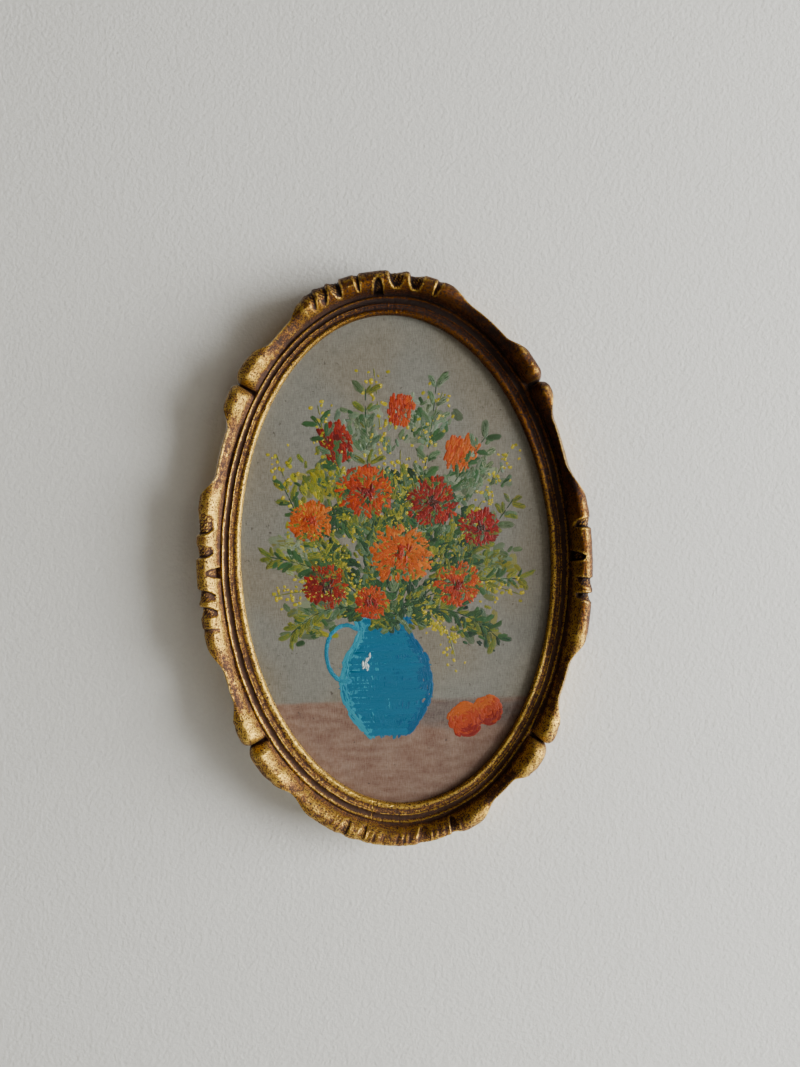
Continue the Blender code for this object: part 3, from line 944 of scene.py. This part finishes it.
def leafy_stem(layer, end, bow, colours, leaf_length):
    """A stem from the jug's mouth with soft leaves along its outer half."""
    pick = layer.random
    steps = 14
    for i, (here, turn) in enumerate(stem_points(end, bow, steps)):
        layer.dab(here.x, here.y, turn, 0.0060, 0.0007, 0.00008, DARK_LEAF, 0.2, LEAF, WARM_GREY)
        if i < steps * 0.35:
            continue
        for side in (-1, 1, -1, 1):
            lean = turn + side * pick.uniform(0.3, 1.2)
            length = leaf_length * pick.uniform(0.6, 1.2)
            x = here.x + math.cos(lean) * length * 0.55
            z = here.y + math.sin(lean) * length * 0.55
            width = length * pick.uniform(0.30, 0.50)
            bend = side * pick.uniform(0, 0.0006)
            leaf = pick.choice(colours)
            layer.dab(x, z, lean, length, width, 0.00010, leaf, 0.25, LEAF, WARM_GREY, bend, 2.0)


def leaf_clump(layer, x, z, reach, colours, count):
    """A soft patch of foliage: broad thin scrubs of paint with leaves over them."""
    pick = layer.random
    for _ in range(count // 5):
        px, pz = about(pick, x, z, reach * 0.40, reach * 0.40)
        scrub = blended(pick.choice(colours), WARM_GREY, 0.35)
        turn, length, width = (pick.uniform(*span) for span in ((0, 3.1), (0.006, 0.010), (0.004, 0.006)))
        layer.dab(px, pz, turn, length, width, 0.00003, scrub, 0.2, under=blended(scrub, WARM_GREY, 0.6))
    for _ in range(count):
        px, pz = about(pick, x, z, reach * 0.45, reach * 0.45)
        turn = math.atan2(pz - JUG_MOUTH[1], px - JUG_MOUTH[0]) + pick.gauss(0, 0.6)
        length = pick.uniform(0.0024, 0.0062)
        width = length * pick.uniform(0.38, 0.64)
        leaf, load = pick.choice(colours), pick.choice(colours)
        layer.dab(px, pz, turn, length, width, 0.00007, leaf, 0.25, load, WARM_GREY)


def paint_leaves(finish):
    """The greenery: a dark heart over the jug's mouth, clumps round it and stems that fan out."""
    layer = Strokes(37)
    pick = layer.random
    clumps = (
        ((-0.031, 0.034), 0.0120, (OLIVE, YELLOW_GREEN, LEAF), 80),
        ((-0.041, 0.004), 0.0090, (GREY_LEAF, OLIVE, PALE_LEAF), 60),
        ((-0.012, 0.052), 0.0120, (PALE_LEAF, GREY_LEAF, LEAF), 80),
        ((0.014, 0.058), 0.0110, (PALE_LEAF, GREY_LEAF, LEAF), 70),
        ((0.036, 0.034), 0.0120, (GREY_LEAF, LEAF, PALE_LEAF), 80),
        ((0.043, -0.004), 0.0100, (OLIVE, GREY_LEAF, LEAF), 70),
        ((0.035, -0.030), 0.0095, (LEAF, DARK_LEAF, OLIVE), 60),
        ((-0.036, -0.026), 0.0095, (GREY_LEAF, LEAF, OLIVE), 60),
    )
    for (x, z), reach, colours, count in clumps:
        leaf_clump(layer, x, z, reach, colours, count)
    stems = (
        ((-0.045, 0.030), 0.004, (OLIVE, LEAF, YELLOW_GREEN)),
        ((-0.030, 0.058), -0.003, (GREY_LEAF, LEAF)),
        ((-0.010, 0.070), 0.002, (GREY_LEAF, OLIVE)),
        ((0.020, 0.072), -0.003, (GREY_LEAF, PALE_LEAF, LEAF)),
        ((0.040, 0.050), 0.003, (LEAF, GREY_LEAF)),
        ((0.050, 0.022), -0.004, (GREY_LEAF, OLIVE)),
        ((0.052, -0.010), 0.005, (LEAF, OLIVE)),
        ((0.042, -0.034), 0.008, (LEAF, DARK_LEAF, OLIVE)),
        ((-0.051, 0.002), -0.005, (OLIVE, LEAF)),
        ((-0.044, -0.030), -0.008, (OLIVE, GREY_LEAF)),
    )
    for end, bow, colours in stems:
        leafy_stem(layer, end, bow, colours, 0.0070)
    for _ in range(950):
        angle, share = pick.uniform(0, 2 * math.pi), pick.random() ** 0.6
        x = 0.001 + 0.036 * share * math.cos(angle)
        z = 0.004 + 0.034 * share * math.sin(angle)
        turn = math.atan2(z - JUG_MOUTH[1], x) + pick.gauss(0, 0.6)
        colour = pick.choice((DARK_LEAF, LEAF, OLIVE, DARK_LEAF, GREY_LEAF, YELLOW_GREEN))
        length = pick.uniform(0.003, 0.008)
        width = length * pick.uniform(0.36, 0.58)
        layer.dab(x, z, turn, length, width, 0.00008, colour, 0.25, LEAF, DARK_LEAF)
    return layer.finished("painted_leaves", finish)


BLOOM_FLATNESS = 0.92
BUD_STROKES = 110


def under_coat(layer, x, z, radius, colour):
    """The blot of colour that a bloom or a fruit is worked up on."""
    for i in range(9):
        angle = 2 * math.pi * i / 9
        px, pz = x + radius * 0.40 * math.cos(angle), z + radius * 0.38 * math.sin(angle)
        layer.dab(px, pz, angle, radius * 1.05, radius * 0.8, 0.00005, colour, 0.15, under=DARK_LEAF)


def bloom(layer, x, z, radius, colours, lobes, tilt=0.0, strokes=230):
    """A full bloom: lobes of fine strokes that fan out from its heart, darker between them."""
    _, petal, shade, heart = colours
    pick = layer.random
    between = blended(petal, shade, 0.5)
    under_coat(layer, x, z, radius, blended(petal, shade, 0.55))
    reaches = [radius * pick.uniform(0.84, 1.10) for _ in range(lobes)]
    turns = [tilt + 2 * math.pi * (i + pick.uniform(-0.18, 0.18)) / lobes for i in range(lobes)]
    for i in range(strokes):
        lobe = i % lobes
        aside = pick.uniform(-1, 1)
        angle = turns[lobe] + aside * 1.15 * math.pi / lobes
        share = pick.uniform(0.16, 1.0) ** 0.75
        far = reaches[lobe] * share * (1 - 0.16 * aside * aside) * 0.90
        light = 0.5 * math.cos(angle - 0.5) + 1.1 * (share - 0.62) - 0.5 * abs(aside) ** 3
        colour = in_light(light + pick.gauss(0, 0.30), 0.42, -0.30, colours[:3])
        length = radius * pick.uniform(0.16, 0.32)
        turn = angle + aside * 0.5 + pick.gauss(0, 0.45)
        width = length * pick.uniform(0.36, 0.62)
        px, pz = x + far * math.cos(angle), z + far * math.sin(angle) * BLOOM_FLATNESS
        layer.dab(px, pz, turn, length, width, 0.00011, colour, 0.22, petal, between)
    for _ in range(16):
        px, pz = about(pick, x, z, radius * 0.11, radius * 0.10)
        turn = pick.uniform(0, 3.1)
        layer.dab(px, pz, turn, radius * 0.24, radius * 0.10, 0.00024, heart, 0.25, shade, shade)


def bud(layer, x, z, height, lean, colours):
    """A closed cup of upright petals."""
    _, petal, shade, _ = colours
    pick = layer.random
    leaning, upright = Matrix.Rotation(lean, 2), math.pi / 2 + lean
    for i in range(5):
        spot = Vector((x, z)) + leaning @ Vector(((i - 2) * height * 0.13, 0.0))
        layer.dab(*spot, upright, height * 0.84, height * 0.34, 0.00005, shade, under=DARK_LEAF)
    for _ in range(BUD_STROKES):
        u, v = pick.uniform(-1, 1), pick.random()
        half = height * 0.44 * math.sin(math.pi * (0.16 + 0.62 * v))
        up = (v - 0.5) * height * (1.0 - 0.14 * abs(math.sin(3 * u)))
        spot = Vector((x, z)) + leaning @ Vector((u * half, up))
        colour = in_light(0.8 * u + pick.gauss(0, 0.35), 0.55, -0.35, colours[:3])
        length = height * pick.uniform(0.16, 0.30)
        turn = upright - u * 0.35 * (v - 0.3) + pick.gauss(0, 0.12)
        layer.dab(*spot, turn, length, length * 0.42, 0.00008, colour, 0.20, petal, shade)


FIERY = (LIGHT_ORANGE, ORANGE, RED, DEEP_RED)
AMBER = (PALE_ORANGE, LIGHT_ORANGE, ORANGE, RED)
SCARLET = (ORANGE, RED, DEEP_RED, DARK_LEAF)
CRIMSON = (RED, tone(124, 16, 12), DEEP_RED, DARK_LEAF)
# Each fruit's place and radius
FRUIT = ((0.0280, -0.0690, 0.0084), (0.0375, -0.0652, 0.0072))


def paint_fruit(layer):
    """Two oranges on the table, in short strokes that go round them."""
    pick = layer.random
    for cx, cz, radius in FRUIT:
        under_coat(layer, cx, cz, radius, ORANGE)
        for _ in range(170):
            angle, share = pick.uniform(0, 2 * math.pi), math.sqrt(pick.random())
            u, v = share * math.cos(angle), share * math.sin(angle)
            light = v - u * 0.6 + pick.gauss(0, 0.2)
            colour = in_light(light, 0.35, -0.55, (LIGHT_ORANGE, ORANGE, RED))
            px, pz, turn = cx + u * radius * 0.86, cz + v * radius * 0.86, angle + math.pi / 2
            layer.dab(px, pz, turn, radius * 0.40, radius * 0.20, 0.00010, colour, 0.10, under=ORANGE)


def paint_blooms(finish):
    """The flowers, the larger ones in front, and two oranges on the table."""
    layer = Strokes(53)
    bud(layer, 0.0050, 0.0630, 0.0130, -0.10, FIERY)
    bud(layer, -0.0230, 0.0500, 0.0160, 0.35, SCARLET)
    bud(layer, 0.0300, 0.0440, 0.0155, -0.42, AMBER)
    bloom(layer, -0.0350, 0.0170, 0.0108, AMBER, 9)
    bloom(layer, 0.0370, 0.0120, 0.0100, CRIMSON, 8, 0.3)
    bloom(layer, 0.0170, 0.0240, 0.0125, SCARLET, 6, 0.5)
    bloom(layer, -0.0110, 0.0290, 0.0138, FIERY, 7, 1.1)
    bloom(layer, 0.0265, -0.0120, 0.0112, FIERY, 8, 0.8)
    bloom(layer, -0.0290, -0.0110, 0.0108, SCARLET, 7, 0.2)
    bloom(layer, 0.0030, 0.0030, 0.0150, AMBER, 9, 0.2, strokes=280)
    bloom(layer, -0.0105, -0.0180, 0.0094, FIERY, 7, 0.9)
    paint_fruit(layer)
    return layer.finished("painted_blooms", finish)


def paint_sprays(finish):
    """Nodding sprays of small yellow buds between the flowers."""
    layer = Strokes(71)
    pick = layer.random
    sprays = (
        ((-0.0480, 0.0440), 0.006), ((-0.0060, 0.0790), -0.002), ((0.0220, 0.0680), 0.003),
        ((0.0490, 0.0420), -0.004), ((0.0510, -0.0160), 0.009), ((-0.0490, -0.0140), -0.006),
        ((0.0240, -0.0400), 0.010), ((-0.0300, 0.0640), 0.003), ((0.0040, 0.0440), -0.002),
        ((-0.0260, 0.0040), 0.002),
    )
    for end, bow in sprays:
        for here, turn in stem_points(end, bow, 16)[6:]:
            layer.dab(here.x, here.y, turn, 0.0052, 0.0006, 0.00008, OLIVE, 0.2, LEAF, WARM_GREY)
            for _ in range(8):
                x, z = about(pick, here.x, here.y, 0.0032, 0.0032)
                size = pick.uniform(0.0011, 0.0024)
                colour = pick.choice((YELLOW, YELLOW, YELLOW_GREEN, YELLOW_GREEN, OLIVE))
                layer.dab(x, z, pick.uniform(0, 3.1), size, size * 0.8, 0.00008, colour, 0.2, YELLOW, OLIVE)
                if colour == YELLOW:
                    spot = (x + 0.0002, z + 0.0002)
                    layer.dab(*spot, 0.6, size * 0.5, size * 0.30, 0.00012, PALE_YELLOW, load=YELLOW)
    return layer.finished("painted_sprays", finish)


# Finishes


class Finish:
    """A material: one Principled shader and the patterns that feed it."""

    def __init__(self, name):
        self.material = bpy.data.materials.new(name)
        self.material.use_nodes = True
        self.tree = self.material.node_tree
        self.shader = self.tree.nodes["Principled BSDF"]
        self.where = self.node("ShaderNodeTexCoord").outputs["Object"]

    def feed(self, socket, value):
        """Links a socket to another, or sets it to a plain value."""
        if isinstance(value, bpy.types.NodeSocket):
            self.tree.links.new(value, socket)
        else:
            socket.default_value = value

    def node(self, kind, inputs=None, **settings):
        made = self.tree.nodes.new(kind)
        for key, value in settings.items():
            setattr(made, key, value)
        for key, value in (inputs or {}).items():
            self.feed(made.inputs[key], value)
        return made

    def attribute(self, name, output="Fac"):
        return self.node("ShaderNodeAttribute", attribute_name=name).outputs[output]

    def texture(self, cells, detail=3.0, rough=0.5, where=None):
        """A noise pattern with this many cells to the metre, the same or one count to each axis."""
        scale = cells if isinstance(cells, tuple) else (cells,) * 3
        where = self.where if where is None else where
        scaled = self.node("ShaderNodeMapping", {"Vector": where, "Scale": scale})
        inputs = {"Vector": scaled.outputs["Vector"], "Scale": 1.0, "Detail": detail, "Roughness": rough}
        return self.node("ShaderNodeTexNoise", inputs).outputs["Fac"]

    def total(self, value, *terms):
        """The value plus each socket times its weight."""
        for socket, weight in terms:
            inputs = {0: socket, 1: weight, 2: value}
            value = self.node("ShaderNodeMath", inputs, operation="MULTIPLY_ADD").outputs[0]
        return value

    def ramp(self, value, *stops):
        """A colour or grey ramp through (place, colour) stops."""
        made = self.node("ShaderNodeValToRGB", {"Fac": value})
        stops = [(at, c if isinstance(c, tuple) else (c, c, c, 1.0)) for at, c in stops]
        elements = made.color_ramp.elements
        for element, (at, colour) in zip(elements, (stops[0], stops[-1])):
            element.position, element.color = at, colour
        for at, colour in stops[1:-1]:
            elements.new(at).color = colour
        return made.outputs["Color"]

    def mixed(self, share, first, second, blend="MIX"):
        inputs = {0: share, 6: first, 7: second}
        return self.node("ShaderNodeMix", inputs, data_type="RGBA", blend_type=blend).outputs[2]

    def shade(self, colour, roughness, metallic=0.0):
        for name, value in (("Base Color", colour), ("Roughness", roughness), ("Metallic", metallic)):
            self.feed(self.shader.inputs[name], value)

    def bump(self, height, distance, strength):
        made = self.node("ShaderNodeBump", {"Height": height, "Distance": distance, "Strength": strength})
        self.feed(self.shader.inputs["Normal"], made.outputs["Normal"])


def gilding_finish():
    """Old water gilding: rubbed bright on the high edges with a painted highlight on the crisp rims, brown
    size and dirt in the hollows, painted shade on the outer side, and a brown glaze of old varnish and
    painted shade.
    """
    gilt = Finish("old_gilding")
    rail = gilt.attribute("rail", "Vector")
    proud, darkening, rubbed_and_lit_edge, varnish_and_shade = (gilt.attribute(name) for name in ("proud", "darkening", "rubbed_and_lit_edge", "varnish_and_shade"))
    speck = gilt.texture(1700, 3.0, 0.7)
    fleck = gilt.texture(480, 3.0, 0.6)
    cloud = gilt.texture(80)
    streak = gilt.texture((170, 1500, 1), 3.0, 0.55, rail)
    tooled = gilt.texture((850, 120, 1), 2.0, 0.5, rail)
    pits = gilt.ramp(gilt.texture(1500, 2.0, 0.6), (0.42, 1.0), (0.465, 0.0))
    grain = ((speck, 2.00), (fleck, 1.20), (cloud, 0.90), (streak, 0.90), (tooled, 0.60), (pits, -1.25))
    # Crisp rims lift the wear: rubbed edges with a painted highlight
    wear = gilt.total(-2.70, (proud, 1.05), (darkening, -0.56), (rubbed_and_lit_edge, 0.30), *grain)
    leaf = gilt.ramp(
        wear,
        (0.10, (0.050, 0.023, 0.013, 1)),
        (0.32, (0.102, 0.043, 0.017, 1)),
        (0.50, (0.205, 0.078, 0.022, 1)),
        (0.72, (0.39, 0.200, 0.034, 1)),
        (1.00, (0.66, 0.43, 0.075, 1)),
    )
    # Painted shade: the brown glaze darkens the top and the outer half of the right crest, over a little old
    # varnish on the roll
    colour = gilt.mixed(varnish_and_shade, leaf, VARNISH_AND_SHADE_TINT, "MULTIPLY")
    roughness = gilt.ramp(wear, (0.20, 0.75), (0.50, 0.52), (0.85, 0.34))
    gilt.shade(colour, roughness, gilt.ramp(wear, (0.20, 0.0), (0.50, 0.35), (0.85, 0.85)))
    gilt.shader.inputs["Specular IOR Level"].default_value = 0.3
    height = gilt.total(0.0, (speck, 0.9), (fleck, 0.8), (streak, 0.5), (tooled, 0.6))
    gilt.bump(height, 0.00036, 0.9)
    return gilt.material


def old_wood_finish():
    """Bare old wood with a stain of size, darker in blotches, with fine upright grain."""
    wood = Finish("old_wood")
    grain = wood.texture((900, 900, 45), 4.0, 0.6)
    value = wood.total(-0.15, (grain, 0.75), (wood.texture(60), 0.5), (wood.texture(900, 3.0, 0.6), 0.12))
    colour = wood.ramp(
        value,
        (0.20, (0.060, 0.030, 0.014, 1)),
        (0.50, (0.150, 0.080, 0.036, 1)),
        (0.80, (0.290, 0.175, 0.090, 1)),
    )
    wood.shade(colour, wood.ramp(value, (0.2, 0.85), (0.8, 0.66)))
    wood.bump(grain, 0.00015, 0.6)
    return wood.material


def board_finish():
    """The brown back and edges of the artist's board."""
    board = Finish("board_back")
    fibre = board.texture(700, 4.0, 0.7)
    value = board.total(0.0, (fibre, 0.5), (board.texture(35), 0.5))
    colour = board.ramp(value, (0.3, (0.13, 0.085, 0.050, 1)), (0.7, (0.26, 0.18, 0.11, 1)))
    board.shade(colour, board.ramp(fibre, (0.3, 0.92), (0.7, 0.75)))
    board.bump(fibre, 0.0001, 0.5)
    return board.material


def ground_finish():
    """The thin paint of the picture's wall and table, with brush marks, weave and dirt."""
    ground = Finish("picture_ground")
    paint = ground.attribute("paint", "Color")
    swept = ground.texture((2100, 1, 380), 4.0, 0.65)
    crossed = ground.texture((380, 1, 2100), 4.0, 0.65)
    mottle = ground.texture(260, 3.0, 0.6)
    value = ground.total(-0.42, (swept, 1.0), (crossed, 0.6), (mottle, 0.25))
    darker = ground.mixed(0.12, paint, tone(60, 52, 46))
    lighter = ground.mixed(0.08, paint, tone(226, 222, 212))
    colour = ground.mixed(ground.ramp(value, (0.36, 0.0), (0.64, 1.0)), darker, lighter)
    darkening = ground.ramp(ground.texture(420, 2.0, 0.6), (0.68, 0.0), (0.76, 0.7))
    colour = ground.mixed(darkening, colour, tone(58, 48, 42))
    ground.shade(colour, ground.ramp(swept, (0.3, 0.62), (0.7, 0.46)))
    ground.bump(ground.total(0.0, (swept, 0.5), (crossed, 0.5)), 0.00014, 0.8)
    return ground.material


def paint_finish():
    """Thick oil paint: two colours carried in the brush, drawn out in streaks by its hairs."""
    oil = Finish("oil_paint")
    hairs = oil.texture((3200, 320, 1), 2.0, 0.6, oil.attribute("brush", "Vector"))
    grit = oil.texture(2100, 2.0, 0.6)
    share = oil.ramp(oil.total(-0.25, (hairs, 1.0), (grit, 0.5)), (0.36, 0.0), (0.66, 1.0))
    colour = oil.mixed(share, oil.attribute("paint", "Color"), oil.attribute("load", "Color"))
    oil.shade(colour, oil.ramp(hairs, (0.3, 0.60), (0.7, 0.38)))
    oil.bump(oil.total(0.0, (hairs, 0.9), (grit, 0.4)), 0.00016, 0.8)
    return oil.material


def iron_finish():
    """Small steel pins gone brown."""
    iron = Finish("brown_iron")
    rust = iron.texture(1200, 3.0, 0.6)
    colour = iron.ramp(rust, (0.35, (0.060, 0.046, 0.040, 1)), (0.65, (0.190, 0.085, 0.040, 1)))
    roughness = iron.ramp(rust, (0.4, 0.4), (0.6, 0.8))
    iron.shade(colour, roughness, iron.ramp(rust, (0.4, 0.9), (0.6, 0.2)))
    return iron.material


def plaster_finish(name, pale):
    plaster = Finish(name)
    grain = plaster.texture(620, 2.0, 0.55)
    dull = tuple(c * 0.97 for c in pale[:3]) + (1.0,)
    colour = plaster.ramp(grain, (0.3, dull), (0.7, pale))
    plaster.shade(colour, plaster.ramp(grain, (0.3, 0.85), (0.7, 0.75)))
    plaster.bump(grain, 0.0005, 0.5)
    return plaster


# Stage, lights and camera


def make_stage():
    """A pale wall close behind the frame, seen from its front alone, and a pale floor below."""
    wall = plaster_finish("wall_plaster", tone(222, 224, 220))
    behind = wall.node("ShaderNodeNewGeometry").outputs["Backfacing"]
    clear = wall.node("ShaderNodeBsdfTransparent").outputs[0]
    chosen = wall.node("ShaderNodeMixShader", {0: behind, 1: wall.shader.outputs[0], 2: clear})
    wall.feed(wall.tree.nodes["Material Output"].inputs["Surface"], chosen.outputs[0])
    floor = plaster_finish("floor_plaster", tone(214, 212, 206))
    for name, finish, size, at, turn in (
        ("wall", wall, 3.0, (0.0, 0.0006, 0.0), math.radians(90)),
        ("floor", floor, 5.0, (0.0, 0.0, -1.2), 0.0),
    ):
        bm = bmesh.new()
        lie = Matrix.Translation(at) @ Matrix.Rotation(turn, 4, "X")
        bmesh.ops.create_grid(bm, x_segments=2, y_segments=2, size=size / 2, matrix=lie)
        made = in_scene(name, mesh_of(name, bm, finish.material))
        made.visible_shadow = name != "wall"


def make_light(name, power, size, at, colour):
    """A soft square lamp that faces the middle of the picture."""
    lamp = bpy.data.lights.new(name, "AREA")
    lamp.shape, lamp.size, lamp.energy, lamp.color = "SQUARE", size, power, colour
    holder = in_scene(name, lamp)
    holder.location = at
    holder.rotation_mode = "QUATERNION"
    aim = Vector((0.0, 0.0, MIDDLE)) - Vector(at)
    holder.rotation_quaternion = aim.to_track_quat("-Z", "Y")


def make_lights():
    """Broad window light from the right, a little below the picture's middle, and a dim room."""
    make_light("window", 115.0, 1.2, (1.85, -0.62, -0.20), (1.0, 0.99, 0.97))
    make_light("room", 11.0, 1.6, (1.60, -1.25, 0.50), (1.0, 0.95, 0.88))
    make_light("behind", 40.0, 1.5, (-0.7, 1.8, 0.6), (1.0, 1.0, 1.0))
    world = bpy.data.worlds.new("room")
    world.use_nodes = True
    background = world.node_tree.nodes["Background"].inputs
    background["Color"].default_value = tone(255, 218, 176)
    background["Strength"].default_value = 0.08
    bpy.context.scene.world = world


def make_camera():
    """The photograph's view: square to the wall, a little right of and above the middle."""
    lens = bpy.data.cameras.new("camera")
    lens.sensor_fit = "AUTO"
    lens.sensor_width = 36.0
    lens.lens = lens.sensor_width / 2 / math.tan(VIEW_ANGLE / 2)
    lens.clip_start = 0.01
    holder = in_scene("camera", lens)
    distance = VIEW_HEIGHT / 2 / math.tan(VIEW_ANGLE / 2)
    holder.location = (VIEW_ASIDE, -VIEW_PLANE - distance, MIDDLE + VIEW_ABOVE)
    turn = Matrix.Rotation(VIEW_ROLL, 3, "Y") @ Matrix.Rotation(math.radians(90), 3, "X")
    holder.rotation_euler = turn.to_euler()
    bpy.context.scene.camera = holder


make_camera()
make_lights()
make_stage()
make_frame(gilding_finish(), old_wood_finish())
make_panel(ground_finish(), board_finish())
oil_paint = paint_finish()
for paint_layer in (paint_jug, paint_leaves, paint_blooms, paint_sprays):
    paint_layer(oil_paint)
iron = iron_finish()
for name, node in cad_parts.items():
    if name.startswith("brad_"):
        node.data.materials.clear()
        node.data.materials.append(iron)
